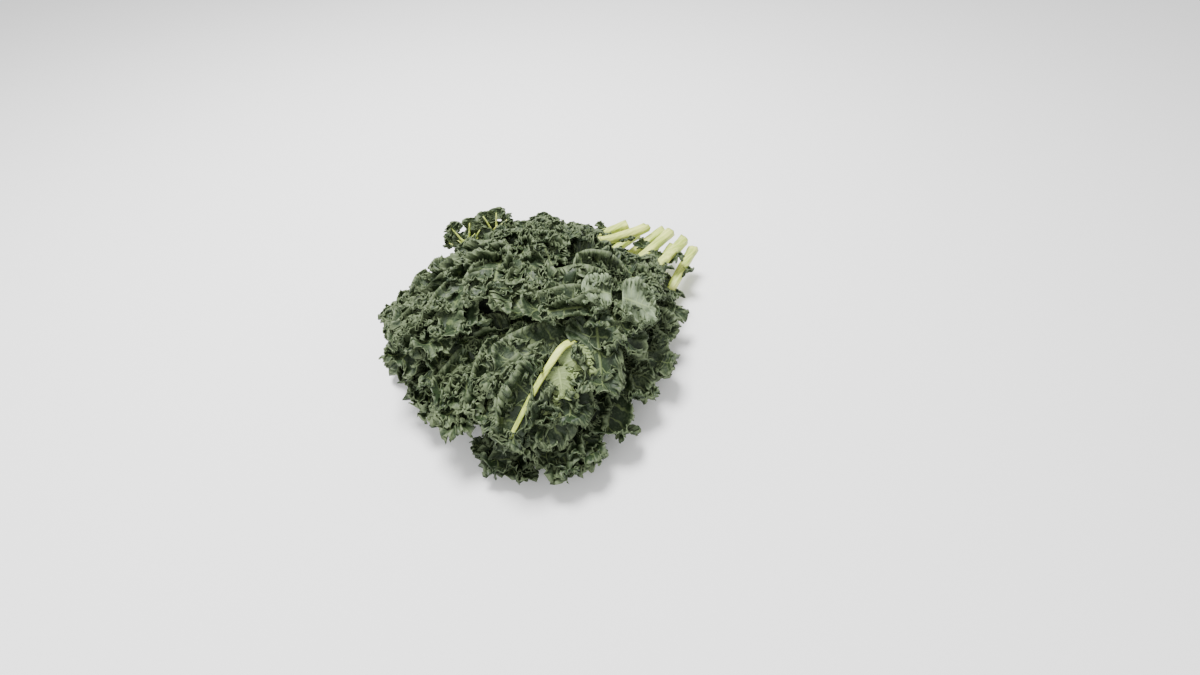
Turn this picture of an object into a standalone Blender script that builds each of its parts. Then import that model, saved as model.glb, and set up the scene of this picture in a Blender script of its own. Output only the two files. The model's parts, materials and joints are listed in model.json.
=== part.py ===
"""A bunch of curly kale laid on its side.

Eight leaves lie in four pairs, one on another, each leaf a pale stalk under a ruffled green blade.
The cut ends of the stalks are gathered at +X and the blades fan out towards -X.
Metres, +Z up, with the origin on the resting surface under the middle of the bunch.
"""

import math
from collections import namedtuple

import bmesh
import bpy
from mathutils import Vector, noise

# The bunch as a whole
LAYERS = 4
CUT_END_X = 0.213
HEAD_END_X = -0.221
HALF_WIDTH = 0.165
STALKS_HEIGHT = 0.046
HEAD_HEIGHT = 0.150

# The mound that the layers share, by the way from the cut ends to the tips
RISE_START, RISE_END = 0.05, 0.50
FALL_START, FALL_END = 0.66, 1.06
TIP_DROP = 0.58
SIDE_DROP = 0.60
LUMP_SIZE = 0.085
LUMP_SHARE = 0.11

# A blade
BLADE_START = 0.27
BLADE_THICKNESS = 0.0014
SEAM_WELD = 1e-6
COARSE_COLUMNS = 10
ROWS_A_SIDE = 5
REFINED_FROM = (0.3, 0.5, 0.7)
RIB_TOP = 0.84
RIB_CROWDING = 1.3
TAIL_WIDTH = 0.13
BASE_FULLNESS, TIP_FULLNESS = 0.75, 0.45
LOBES_A_SIDE = 5.5
LOBE_DEPTH = 0.26
CURL_REACH = 0.06
RIB_RISE = 0.16
RIB_FLAT, RIB_FALL = 0.003, 0.030
CALM, RUFFLED = 0.006, 0.028
WOBBLE, WOBBLE_RATE = 1.3, 5.0
SWELL, SWELL_RATE = 0.7, 8.0
LAYER_CLEARANCE = 0.0012
TOP_FREEDOM = 0.008
FLOOR_PRESS = 0.35
CURL_UP = 0.24

# Each ruffle of a blade: waves a side, where across the blade it begins and is full, and its height
# as a share of a layer. They grow in number towards the margin.
RUFFLES = ((5.5, 0.10, 0.45, 0.16), (10.0, 0.35, 0.70, 0.22), (18.0, 0.60, 1.00, 0.29))

# A stalk
STALK_RADIUS = 0.0073
RIB_TIP_RADIUS = 0.0012
STALK_TAPER = 1.15
STALKS_LIFT = 0.026
STALK_ROW_HEIGHT = 0.0062
PETIOLE_STEPS = 5
PETIOLE_SWEEP = 1.7
RIB_END = 0.97
GAP = 0.0003
RIB_CLEARANCE = 0.42

PETIOLE_GREEN = (0.62, 0.68, 0.34, 1.0)
BLADE_GREENS = ((0.045, 0.085, 0.040, 1.0), (0.060, 0.105, 0.050, 1.0), (0.080, 0.125, 0.065, 1.0))

# cut and tip are the plan places of a leaf's two ends, and half_width is its blade's at the widest.
Leaf = namedtuple("Leaf", "name layer cut tip half_width bow turned seed")
LEAVES = (
    Leaf("leaf_01", 0, (0.199, -0.021), (-0.204, -0.104), 0.071, 0.004, False, 3.1),
    Leaf("leaf_02", 0, (0.192, 0.035), (-0.196, 0.096), 0.071, -0.003, False, 8.4),
    Leaf("leaf_03", 1, (0.207, -0.049), (-0.172, -0.139), 0.052, -0.004, False, 12.7),
    Leaf("leaf_04", 1, (0.213, 0.007), (-0.219, 0.026), 0.083, 0.006, False, 17.2),
    Leaf("leaf_05", 2, (0.210, -0.007), (-0.216, -0.033), 0.083, -0.004, False, 26.3),
    Leaf("leaf_06", 2, (0.184, 0.049), (-0.172, 0.140), 0.050, 0.004, False, 31.8),
    Leaf("leaf_07", 3, (0.203, -0.035), (-0.192, -0.108), 0.062, -0.004, True, 36.5),
    Leaf("leaf_08", 3, (0.189, 0.021), (-0.208, 0.058), 0.078, 0.005, False, 41.6),
)


def smoothstep(start, end, x):
    """0 before start, 1 after end, and a smooth step between them."""
    t = min(1.0, max(0.0, (x - start) / (end - start)))
    return t * t * (3.0 - 2.0 * t)


def mound_height(x, y):
    """Height of the whole pile of leaves over a point of the plan."""
    way = (CUT_END_X - x) / (CUT_END_X - HEAD_END_X)
    rise = smoothstep(RISE_START, RISE_END, way)
    fall = 1.0 - TIP_DROP * smoothstep(FALL_START, FALL_END, way)
    height = STALKS_HEIGHT + (HEAD_HEIGHT - STALKS_HEIGHT) * rise
    side = min(1.0, (y / HALF_WIDTH) ** 2)
    lump = noise.noise(Vector((x, y, 0.0)) / LUMP_SIZE)
    return height * fall * (1.0 - SIDE_DROP * rise * side) * (1.0 + LUMP_SHARE * rise * lump)


def axis_point(leaf, way):
    """Plan place of a leaf's midline, from its cut end at way 0 to its tip at way 1."""
    x = leaf.cut[0] + (leaf.tip[0] - leaf.cut[0]) * way
    y = leaf.cut[1] + (leaf.tip[1] - leaf.cut[1]) * way + leaf.bow * math.sin(math.pi * way)
    return Vector((x, y))


def axis_side(leaf, way):
    """Unit vector in the plan, square to the midline."""
    step = 0.01
    along = (axis_point(leaf, way + step) - axis_point(leaf, way - step)).normalized()
    return Vector((-along.y, along.x))


def rib_way(along):
    """Way on the midline where the ray of the blade at along starts."""
    return BLADE_START + (RIB_TOP - BLADE_START) * along**RIB_CROWDING


def margin(along):
    """Way and share of the half-width where that ray ends, from the base round to the tip."""
    turned = 0.5 - 0.5 * math.cos(math.pi * along)
    widest = BASE_FULLNESS / (BASE_FULLNESS + TIP_FULLNESS)
    most = widest**BASE_FULLNESS * (1.0 - widest) ** TIP_FULLNESS
    body = turned**BASE_FULLNESS * (1.0 - turned) ** TIP_FULLNESS / most
    return BLADE_START + (1.0 - BLADE_START) * turned, body + TAIL_WIDTH * (1.0 - turned) ** 2


def wave(leaf, along, across, waves):
    """One ruffle's rise and fall along one side of a blade. The two sides agree at the tip."""
    side = math.copysign(2.0, across) * (1.0 - along**6)
    wobble = WOBBLE * noise.noise(Vector((WOBBLE_RATE * along, side, leaf.seed)))
    return math.sin(2.0 * math.pi * waves * along + (leaf.seed + side + wobble) * waves / LOBES_A_SIDE)


def ruffle(leaf, along, across):
    """Up and down of the blade as a share of its layer."""
    side = math.copysign(1.0 - along**6, across)
    swell = 1.0 + SWELL * noise.noise(Vector((SWELL_RATE * along, side, leaf.seed)))
    heights = (
        height * smoothstep(begin, full, abs(across)) * wave(leaf, along, across, waves)
        for waves, begin, full, height in RUFFLES
    )
    return swell * sum(heights)


def blade_plan(leaf, along, across):
    """Way and distance from the midline, with the lobes cut in and the frills drawn back in turn."""
    lobe = LOBE_DEPTH * (0.5 - 0.5 * wave(leaf, along, across, LOBES_A_SIDE)) * across**2
    curl = CURL_REACH * (1.0 - wave(leaf, along, across, RUFFLES[-1][0])) * across**4
    reach = abs(across) * (1.0 - lobe) * (1.0 - curl)
    start = rib_way(along)
    end, width = margin(along)
    return start + (end - start) * reach, leaf.half_width * width * reach


def blade_point(leaf, along, across):
    """A point of the blade's upper face. along runs from base to tip, across from margin to margin."""
    way, from_midline = blade_plan(leaf, along, across)
    place = axis_point(leaf, way) + axis_side(leaf, way) * math.copysign(from_midline, across)
    beyond_rib = max(0.0, way - RIB_TOP) * (CUT_END_X - HEAD_END_X)
    from_rib = math.hypot(from_midline, beyond_rib)
    share = mound_height(place.x, place.y) / LAYERS
    rise = (-RIB_RISE if leaf.turned else RIB_RISE) * (1.0 - smoothstep(RIB_FLAT, RIB_FALL, from_rib))
    ruffled = CURL_UP * abs(across) ** 3 + ruffle(leaf, along, across)
    offset = rise + ruffled * smoothstep(CALM, RUFFLED, from_rib)
    lowest = leaf.layer * share + BLADE_THICKNESS
    highest = (leaf.layer + 1) * share - LAYER_CLEARANCE
    if leaf.layer == 0:
        offset -= FLOOR_PRESS * smoothstep(RIB_FLAT, RIB_FALL, from_rib)
    else:
        lowest += LAYER_CLEARANCE
    if leaf.layer == LAYERS - 1:
        highest += TOP_FREEDOM
    z = min(highest, max(lowest, (leaf.layer + 0.5 + offset) * share))
    return Vector((place.x, place.y, z))


def refine(sheet, least_across):
    """Halves the columns' spacing from least_across out to the margin."""
    rows = [
        edge
        for edge in sheet.edges
        if abs(edge.verts[0].co.y - edge.verts[1].co.y) < 1e-5
        and min(abs(vertex.co.y) for vertex in edge.verts) > least_across
    ]
    bmesh.ops.subdivide_edges(sheet, edges=rows, cuts=1)


def make_blade(leaf, collection):
    """One ruffled sheet with upright walls, its two faces split into triangles alike."""
    sheet = bmesh.new()
    bmesh.ops.create_grid(sheet, x_segments=COARSE_COLUMNS, y_segments=2 * ROWS_A_SIDE, size=1.0)
    for least_across in REFINED_FROM:
        refine(sheet, least_across)
    bmesh.ops.triangulate(sheet, faces=sheet.faces[:])
    for vertex in sheet.verts:
        vertex.co = blade_point(leaf, (vertex.co.x + 1.0) / 2.0, vertex.co.y)
    bmesh.ops.remove_doubles(sheet, verts=sheet.verts[:], dist=SEAM_WELD)
    made = bmesh.ops.extrude_face_region(sheet, geom=sheet.faces[:])
    lower = [item for item in made["geom"] if isinstance(item, bmesh.types.BMVert)]
    bmesh.ops.translate(sheet, verts=lower, vec=(0.0, 0.0, -BLADE_THICKNESS))
    bmesh.ops.recalc_face_normals(sheet, faces=sheet.faces[:])
    mesh = bpy.data.meshes.new(leaf.name + "_blade")
    sheet.to_mesh(mesh)
    sheet.free()
    blade = bpy.data.objects.new(leaf.name + "_blade", mesh)
    mesh.materials.append(blade_material(leaf))
    collection.objects.link(blade)


def stalk_radius(way):
    """The stalk tapers from its cut end to a fine rib at the tip."""
    return RIB_TIP_RADIUS + (STALK_RADIUS - RIB_TIP_RADIUS) * (1.0 - way) ** STALK_TAPER


def rib_point(leaf, along):
    """Centre of the rib just clear of the blade: under it, or over it on a turned leaf."""
    radius = stalk_radius(rib_way(along))
    away = GAP + radius * (1.0 + RIB_CLEARANCE)
    top = blade_point(leaf, along, 0.0)
    place = Vector((top.x, top.y, top.z + away if leaf.turned else top.z - BLADE_THICKNESS - away))
    return place, radius


def petiole_point(leaf, share):
    """Centre of the bare stalk, which runs from its place in the gathered stalks up to the blade."""
    way = BLADE_START * share
    start_z = STALKS_LIFT + STALK_RADIUS + STALK_ROW_HEIGHT * leaf.layer
    end_z = rib_point(leaf, 0.0)[0].z
    plan = axis_point(leaf, way)
    z = start_z + (end_z - start_z) * share**PETIOLE_SWEEP
    return Vector((plan.x, plan.y, z)), stalk_radius(way)


def make_stalk(leaf, collection):
    """A tapering round tube: the bare petiole, then the rib along the blade."""
    points = [petiole_point(leaf, step / PETIOLE_STEPS) for step in range(PETIOLE_STEPS)]
    shares = [column / COARSE_COLUMNS for column in range(COARSE_COLUMNS + 1)]
    points += [rib_point(leaf, share) for share in shares if share < RIB_END]
    curve = bpy.data.curves.new(leaf.name + "_stalk", "CURVE")
    curve.dimensions = "3D"
    curve.bevel_depth = 1.0
    curve.bevel_resolution = 1
    curve.use_fill_caps = True
    line = curve.splines.new("POLY")
    line.points.add(len(points) - 1)
    for point, (place, radius) in zip(line.points, points):
        point.co = (*place, 1.0)
        point.radius = radius
    stalk = bpy.data.objects.new(leaf.name + "_stalk", curve)
    curve.materials.append(material("petiole_green", PETIOLE_GREEN, 0.45))
    collection.objects.link(stalk)


def material(name, colour, roughness):
    """A plain finish, made once for each name."""
    made = bpy.data.materials.get(name)
    if made is None:
        made = bpy.data.materials.new(name)
        made.use_nodes = True
        shader = made.node_tree.nodes["Principled BSDF"]
        shader.inputs["Base Color"].default_value = colour
        shader.inputs["Roughness"].default_value = roughness
        shader.inputs["Metallic"].default_value = 0.0
        made.diffuse_color = colour
    return made


def blade_material(leaf):
    """Inner leaves are paler than the outer ones."""
    tone = leaf.layer % len(BLADE_GREENS)
    return material(f"kale_green_{tone}", BLADE_GREENS[tone], 0.6)


def main():
    for old in list(bpy.data.objects):
        bpy.data.objects.remove(old)
    bunch = bpy.data.collections.new("kale_bunch")
    bpy.context.scene.collection.children.link(bunch)
    for leaf in LEAVES:
        make_stalk(leaf, bunch)
        make_blade(leaf, bunch)


main()
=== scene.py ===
"""The finished looks of a bunch of curly kale, over its plain solids.

Each leaf has a stalk, which runs on as the midrib, and lobes that stand on both sides of the midrib.
A lobe is one thin sheet that cups upwards, and its margin is far longer than its foot, so it frills.
Lengths are in metres and angles in radians.
"""

import json
import math
from collections import namedtuple
from itertools import product

import bmesh
import bpy
import numpy as np
from mathutils import Matrix, Vector, noise

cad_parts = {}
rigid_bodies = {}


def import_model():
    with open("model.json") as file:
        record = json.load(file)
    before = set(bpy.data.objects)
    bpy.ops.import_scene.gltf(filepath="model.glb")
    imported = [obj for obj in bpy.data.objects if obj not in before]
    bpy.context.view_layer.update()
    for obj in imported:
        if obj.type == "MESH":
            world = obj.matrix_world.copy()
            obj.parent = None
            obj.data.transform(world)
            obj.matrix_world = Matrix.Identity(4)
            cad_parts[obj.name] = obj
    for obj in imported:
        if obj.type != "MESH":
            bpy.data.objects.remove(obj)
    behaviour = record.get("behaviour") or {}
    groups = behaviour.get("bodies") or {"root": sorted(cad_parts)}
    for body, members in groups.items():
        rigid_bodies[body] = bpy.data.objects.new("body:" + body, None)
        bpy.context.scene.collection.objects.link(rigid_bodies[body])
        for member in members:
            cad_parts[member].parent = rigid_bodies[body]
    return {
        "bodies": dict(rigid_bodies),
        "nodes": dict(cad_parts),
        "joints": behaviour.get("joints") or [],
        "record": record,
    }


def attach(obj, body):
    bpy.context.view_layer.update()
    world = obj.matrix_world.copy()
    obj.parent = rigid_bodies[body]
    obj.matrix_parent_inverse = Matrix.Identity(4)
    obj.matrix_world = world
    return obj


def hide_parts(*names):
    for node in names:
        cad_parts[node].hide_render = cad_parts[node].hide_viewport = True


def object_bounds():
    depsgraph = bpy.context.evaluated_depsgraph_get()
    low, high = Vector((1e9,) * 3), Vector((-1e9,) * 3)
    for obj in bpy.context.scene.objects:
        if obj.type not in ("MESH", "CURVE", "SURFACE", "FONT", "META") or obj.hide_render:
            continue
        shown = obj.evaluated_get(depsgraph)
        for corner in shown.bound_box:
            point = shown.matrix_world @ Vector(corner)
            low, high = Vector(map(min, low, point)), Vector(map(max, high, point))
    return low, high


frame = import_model()
cad_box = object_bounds()
frame["slots"] = {part["node"]: part["material_slot"] for part in frame["record"]["subparts"]}

# The bunch as a whole, with its cut ends at +X
LAYERS = 4
CUT_END_X = 0.213
HEAD_END_X = -0.221
HALF_WIDTH = 0.165
STALKS_HEIGHT = 0.046
HEAD_HEIGHT = 0.150

# The mound that the layers share, by the way from the cut ends to the tips
RISE_START, RISE_END = 0.05, 0.50
FALL_START, FALL_END = 0.66, 1.06
TIP_DROP = 0.58
SIDE_DROP = 0.60
LUMP_SIZE = 0.085
LUMP_SHARE = 0.11

# A blade's outline and where its rays leave the midrib, by the way along the leaf
BLADE_START = 0.27
RIB_TOP = 0.84
RIB_CROWDING = 1.3
TAIL_WIDTH = 0.13
BASE_FULLNESS, TIP_FULLNESS = 0.75, 0.45

# A stalk and its midrib. A height in a layer is a share of that layer's thickness.
STALK_RADIUS = 0.0073
RIB_TIP_RADIUS = 0.0012
STALK_TAPER = 1.15
STALKS_LIFT = 0.026
STALK_ROW_HEIGHT = 0.0062
STALK_CLEARANCE = 0.0005
PETIOLE_SWEEP = 1.7
RIB_IN_LAYER = 0.26
RIB_END, TURNED_RIB_END = 0.90, 0.96
STALK_STEPS, STALK_SIDES = 72, 24

# The leaf that lies turned over, so that its midrib shows from this way on
TURNED_FROM = 0.64
TURNED_RISE_WAY = 0.10
TURNED_RIB_IN_LAYER, TURNED_RIB_RISE = 0.02, 0.60
TURNED_WIDENING, TURNED_WIDEN_WAY = 0.6, 0.06
RIB_CLEAR_WIDTH, RIB_CLEAR_WAY = 0.013, 0.02

# A stalk's ribbed surface and its cut end
RIDGES, RIDGE_HEIGHT, RIDGED_RADIUS = 7.0, 0.065, 1.02
GROOVE_DEPTH, GROOVE_WIDTH = 0.24, 0.42
KNOBS = ((0.03, 0.4, 1.0), (0.02, 1.7, 2.0))
CUT_INSETS = (0.14, 0.30)
CUT_SLANT = 0.5
CUT_OVERHANG = 0.003
CUT_STEPS = 3.0
PITH_DEPTH = 0.0012

Leaf = namedtuple("Leaf", "name layer cut tip half_width bow turned seed")
LEAVES = (
    Leaf("leaf_01", 0, (0.199, -0.021), (-0.204, -0.104), 0.071, 0.004, False, 31),
    Leaf("leaf_02", 0, (0.192, 0.035), (-0.196, 0.096), 0.071, -0.003, False, 84),
    Leaf("leaf_03", 1, (0.207, -0.049), (-0.172, -0.139), 0.052, -0.004, False, 127),
    Leaf("leaf_04", 1, (0.213, 0.007), (-0.219, 0.026), 0.083, 0.006, False, 172),
    Leaf("leaf_05", 2, (0.210, -0.007), (-0.216, -0.033), 0.083, -0.004, False, 263),
    Leaf("leaf_06", 2, (0.184, 0.049), (-0.172, 0.140), 0.050, 0.004, False, 318),
    Leaf("leaf_07", 3, (0.203, -0.035), (-0.192, -0.108), 0.062, -0.004, True, 365),
    Leaf("leaf_08", 3, (0.189, 0.021), (-0.208, 0.058), 0.078, 0.005, False, 416),
)

# The flat grids that lobes are made from, finer towards the margin
LOBE_COLUMNS, LOBE_ROWS = 12, 5
SMALL_LOBE_COLUMNS, SMALL_LOBE_ROWS = 8, 4
REFINED_FROM = (0.28, 0.48, 0.70)
SEAM_WELD = 1e-6
SHEET_THICKNESS = 0.0005

# The outline of a lobe, and how far it turns up
RAY_TOP, RAY_CROWDING = 0.86, 1.2
LOBE_BASE_FULLNESS, LOBE_TIP_FULLNESS = 0.55, 0.42
LOBE_TAIL = 0.55
LOBE_TURN_MOST = 1.15
LOBE_RIB_WIDTH = 0.003

# What is drawn at random for a lobe, from the least to the most
LENGTH_SPREAD = (0.94, 1.06)
WIDTH_SPREAD = (0.90, 1.15)
LOBE_FLAT = 0.50
LOBE_CUPS = (0.012, 0.021)
LOBE_TIP_CURLS = (0.018, 0.034)
LOBE_RISES = (0.50, 0.72)
LOBE_LIFTS = (0.18, 0.34)
LOBE_CALMS = (0.0, 0.35)

# The lobes along a blade: more on the leaves that lie on top
LOBES_A_SIDE = (8, 8, 9, 9)
LOBED_SHARE = 0.85
FIRST_LOBE = 0.55
LOBE_STAGGER = 0.12
LOBE_WIDTH_SHARE, TIP_LOBE_WIDTH_SHARE = 0.60, 0.62
LOBE_OVERLAP = 0.006
WIDTH_TO_LENGTH = 0.75
TIP_LOBE_WAY = 0.04
CALM_SHARE, CALM = 0.07, 0.80

# How high a lobe stands in its layer, by what lies over and under it
COVER_SHARE, COVER_END = 0.75, 0.97
COVER_LOOK = 0.7
OPEN_LIFT = 0.50
FLOOR_LIFT = 0.06
TOP_LIFT = 0.20
RIM_LIFT, RIM_RISE = 0.24, 1.0
TURNED_LIFT, TURNED_RISE = 0.12, 0.45
TURNED_LOBES_WAY = 0.04
INNER_REACH = 0.13

# The small lobes that stand on a lobe: more on the leaves that lie on top
SIDE_LOBES = (3, 4, 5, 5)
RIM_SIDE_LOBES = 2
FRINGE_LOBES, FRINGE_SIZE = 4, 0.52
SIDE_START, SIDE_SPAN, SIDE_STRAY = 0.16, 0.66, (0.2, 0.8)
IN_CUP, NEAR_MARGIN = (0.18, 0.86), (0.62, 0.92)
SIDE_LEANS = (0.3, 1.2)
SIDE_LENGTHS, SIDE_WIDTHS = (0.014, 0.025), (0.008, 0.013)
SIDE_CUPS, SIDE_TIP_CURLS, SIDE_RISES = (0.007, 0.012), (0.008, 0.016), (0.8, 1.0)
SIDE_SUNK, SIDE_DEPTH = 0.3, 0.002
CLEAR_IF_CALMER, CLEAR_IF_PALER = 0.4, 1.5

# The leaflets low on a stalk
LEAFLETS = 3
LEAFLET_START, LEAFLET_SPACING, LEAFLET_STRAY = 0.10, 0.055, 0.01
LEAFLET_LENGTHS, LEAFLET_WIDTHS = (0.012, 0.020), (0.006, 0.009)
LEAFLET_AHEAD = 0.03
LEAFLET_SUNK = 0.7

# The frills of a lobe's margin: the length of a wave on the unfrilled margin, how far it turns the margin,
# where across the lobe it begins and is full, and how much painted highlight it puts on its crests and
# painted shade in its troughs
Frill = namedtuple("Frill", "period turn begin full crest")
FRILLS = (
    Frill(0.0270, 0.85, 0.05, 0.55, 0.0),
    Frill(0.0092, 1.20, 0.10, 0.58, 0.4),
    Frill(0.0042, 1.60, 0.20, 0.74, 0.8),
    Frill(0.0023, 0.90, 0.56, 1.00, 0.4),
)
SMALL_FRILLS = (
    Frill(0.0170, 0.60, 0.05, 0.50, 0.0),
    Frill(0.0074, 1.05, 0.10, 0.55, 0.3),
    Frill(0.0038, 1.65, 0.14, 0.64, 0.7),
    Frill(0.0020, 0.80, 0.55, 1.00, 0.4),
)
SMALL_LOBE_WIDTH = 0.0135
MARGIN_STEPS = 801
LEAST_GAIN = 0.22
SLOW_WAVES, SLOW_TURN = 1.3, 0.9
PHASE_BY_FRILL, PHASE_BY_SIDE, SLOW_PHASE = 1.3, 1.7, 2.1
FRILLS_UNTIL = 0.94
CALM_BEGIN, CALM_DELAY, CALM_FULL, CALM_LOSS = 0.95, 0.75, 1.15, 0.35
UNFRILLED_WIDTH = 0.04
NORMAL_STEP = 0.004

# How far the frills may reach beyond the solids' box, and how softly they are held in
BEYOND_SOLIDS = 0.010
BEYOND_TOP = 0.005
HOLD_EASE = 0.014
FLOOR_CLEARANCE = 0.0008

# The shades of the lobes that are placed one by one. A usual lobe's shade is between -1 and 1.
FLIPPED, BY_RIB = 1.8, 4.0
SHOWN_CUP = 0.030

# The lobes placed one by one on top of the bunch: two that lie turned over, three pale ones beside the
# midrib that shows, and four that close the gap between the top leaves
ShownLobe = namedtuple("ShownLobe", "leaf foot toward length half_width flat tip_curl lift calm shade")
SHOWN_LOBES = (
    ShownLobe("leaf_07", (0.006, -0.092), (0.68, -0.73), 0.040, 0.021, 0.50, 0.030, 0.86, 0.15, FLIPPED),
    ShownLobe("leaf_07", (-0.002, -0.084), (-0.68, 0.73), 0.034, 0.019, 0.50, 0.030, 0.86, 0.15, FLIPPED),
    ShownLobe("leaf_07", (-0.070, -0.093), (-0.60, -0.80), 0.026, 0.014, 0.70, 0.030, 0.50, 0.60, BY_RIB),
    ShownLobe("leaf_07", (-0.096, -0.098), (-0.60, -0.80), 0.026, 0.014, 0.70, 0.030, 0.50, 0.60, BY_RIB),
    ShownLobe("leaf_07", (-0.122, -0.102), (-0.60, -0.80), 0.022, 0.012, 0.70, 0.030, 0.48, 0.60, BY_RIB),
    # These two lie in shade low in the gap between the top leaves, and their tone of 1.0 is painted light
    # that lightens them
    ShownLobe("leaf_05", (-0.084, -0.040), (0.25, 0.97), 0.046, 0.026, 0.40, 0.030, 1.55, 0.00, 1.0),
    ShownLobe("leaf_05", (-0.046, -0.034), (0.10, 0.99), 0.046, 0.026, 0.40, 0.030, 1.55, 0.00, 1.0),
    ShownLobe("leaf_05", (0.050, -0.004), (-0.95, -0.30), 0.046, 0.022, 0.40, 0.025, 1.15, 0.20, 0.0),
    ShownLobe("leaf_05", (0.022, -0.012), (0.95, -0.10), 0.040, 0.020, 0.40, 0.025, 1.10, 0.20, 0.0),
)

# Two parts of a leaf that stand up at the back: each is a fan of pale veins with small lobes behind every
# vein. A vein has a lean and a length, and leaves its foot upright.
ShownFan = namedtuple("ShownFan", "leaf foot height seed")
SHOWN_FANS = (
    ShownFan("leaf_06", (-0.040, 0.118), 0.086, 3),
    ShownFan("leaf_06", (-0.006, 0.106), 0.088, 5),
)
FAN_ACROSS = np.array((0.680, -0.733))
FAN_BACK = np.array((0.733, 0.680))
FAN_VEINS = ((-0.95, 0.036), (-0.45, 0.046), (0.05, 0.048), (0.50, 0.042), (1.0, 0.034))
FAN_LEAN_STRAY = 0.12
FAN_BEND, FAN_LEAN_BACK = 1.6, 0.25
FAN_VEIN_END = 0.9
FAN_VEIN_RADII, FAN_SIDE_VEIN_RADII = (0.0027, 0.0006), (0.0012, 0.0004)
FAN_SIDE_VEINS = ((-1.0, 0.34), (1.0, 0.46))
FAN_SIDE_ACROSS, FAN_SIDE_UP = 0.18, 0.20
FAN_VEIN_STEPS, FAN_SIDE_STEPS, VEIN_SIDES = 9, 3, 6
FAN_LOBE_SHARES = (0.45, 0.78)
FAN_LOBE_LENGTHS, FAN_LOBE_WIDTHS = (0.014, 0.019), (0.010, 0.0115)
FAN_LOBE_ACROSS, FAN_LOBE_BACK, FAN_LOBE_STRAY = 1.1, 0.7, 0.3
FAN_LOBE_BEHIND, FAN_LOBE_DEPTH = 0.002, 0.004

# Finishes: colours are linear, and scales are in waves or cells a metre
STALK_GREEN = (0.33, 0.44, 0.055, 1.0)
STALK_PALE = (0.72, 0.77, 0.20, 1.0)
PITH_DARK, PITH_PALE = (0.42, 0.44, 0.17, 1.0), (0.72, 0.74, 0.42, 1.0)
VEIN_GREEN = (0.36, 0.46, 0.17, 1.0)
TURNED_PALE = (0.205, 0.265, 0.155, 1.0)
FLOOR_WHITE = (0.90, 0.90, 0.90, 1.0)
# Each layer's two greens: a dark one deep in the lobes, which also paints the shade in their cups, and a
# light one that the margins, crests, waxy bloom and tone go towards; on the margins and crests it is a
# painted highlight
LEAF_GREENS = (
    ("outer_green", (0.012, 0.024, 0.008, 1.0), (0.096, 0.126, 0.063, 1.0)),
    ("middle_green", (0.013, 0.027, 0.008, 1.0), (0.103, 0.135, 0.066, 1.0)),
    ("middle_green_pale", (0.015, 0.030, 0.009, 1.0), (0.110, 0.143, 0.069, 1.0)),
    ("inner_green", (0.014, 0.028, 0.009, 1.0), (0.107, 0.139, 0.068, 1.0)),
)
MOTTLE_SCALE, CRINKLE_SCALE, RAY_STRAY_SCALE = 60.0, 420.0, 90.0
LOBE_RAYS, RAY_STRAY = 6.0, 0.12
STREAK_SCALE, STREAK_STRETCH, PATCH_SCALE, SPECK_SCALE = 420.0, 0.06, 30.0, 900.0

# The studio and the camera
FLOOR_SIZE = 6.0
LIGHTS = (("key", (0.1, 0.5, 1.7), 0.7, 75.0), ("fill", (-1.3, -0.6, 1.2), 1.0, 8.0))
LIT_PLACE = (0.0, 0.0, 0.05)
CAMERA_PLACE = (-0.295, -0.351, 0.50)
CAMERA_FORWARD, CAMERA_RIGHT = (0.4755, 0.4644, -0.747), (0.680, -0.733, -0.023)
CAMERA_LENS, CAMERA_SENSOR = 15.6, 36.0


def smoothstep(start, end, x):
    """0 before start, 1 after end, and a smooth step between them."""
    t = np.clip((x - start) / (end - start), 0.0, 1.0)
    return t * t * (3.0 - 2.0 * t)


def mound_height(x, y):
    """Height of the whole pile of leaves over one point of the plan."""
    way = (CUT_END_X - x) / (CUT_END_X - HEAD_END_X)
    rise = smoothstep(RISE_START, RISE_END, way)
    fall = 1.0 - TIP_DROP * smoothstep(FALL_START, FALL_END, way)
    height = STALKS_HEIGHT + (HEAD_HEIGHT - STALKS_HEIGHT) * rise
    side = min(1.0, (y / HALF_WIDTH) ** 2)
    lump = noise.noise(Vector((x, y, 0.0)) / LUMP_SIZE)
    return height * fall * (1.0 - SIDE_DROP * rise * side) * (1.0 + LUMP_SHARE * rise * lump)


# The mound read once on a grid of 5 mm, for quick reading between its points
MOUND_X = np.linspace(-0.26, 0.26, 105)
MOUND_Y = np.linspace(-0.21, 0.21, 85)
MOUND = np.array([[mound_height(x, y) for y in MOUND_Y] for x in MOUND_X])


def mound(x, y):
    """Height of the pile over many points of the plan."""
    i = np.clip((x - MOUND_X[0]) / (MOUND_X[1] - MOUND_X[0]), 0.0, len(MOUND_X) - 1.001)
    j = np.clip((y - MOUND_Y[0]) / (MOUND_Y[1] - MOUND_Y[0]), 0.0, len(MOUND_Y) - 1.001)
    i0, j0 = i.astype(int), j.astype(int)
    fi, fj = i - i0, j - j0
    near = MOUND[i0, j0] * (1.0 - fj) + MOUND[i0, j0 + 1] * fj
    far = MOUND[i0 + 1, j0] * (1.0 - fj) + MOUND[i0 + 1, j0 + 1] * fj
    return near * (1.0 - fi) + far * fi


def axis_point(leaf, way):
    """Plan place of a leaf's midline, from its cut end at way 0 to its tip at way 1."""
    x = leaf.cut[0] + (leaf.tip[0] - leaf.cut[0]) * way
    y = leaf.cut[1] + (leaf.tip[1] - leaf.cut[1]) * way + leaf.bow * np.sin(math.pi * way)
    return np.stack([x, y], axis=-1)


def axis_side(leaf, way):
    """Unit vector in the plan, square to the midline."""
    step = 0.01
    along = axis_point(leaf, way + step) - axis_point(leaf, way - step)
    along = along / np.linalg.norm(along, axis=-1, keepdims=True)
    return np.stack([-along[..., 1], along[..., 0]], axis=-1)


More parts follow.
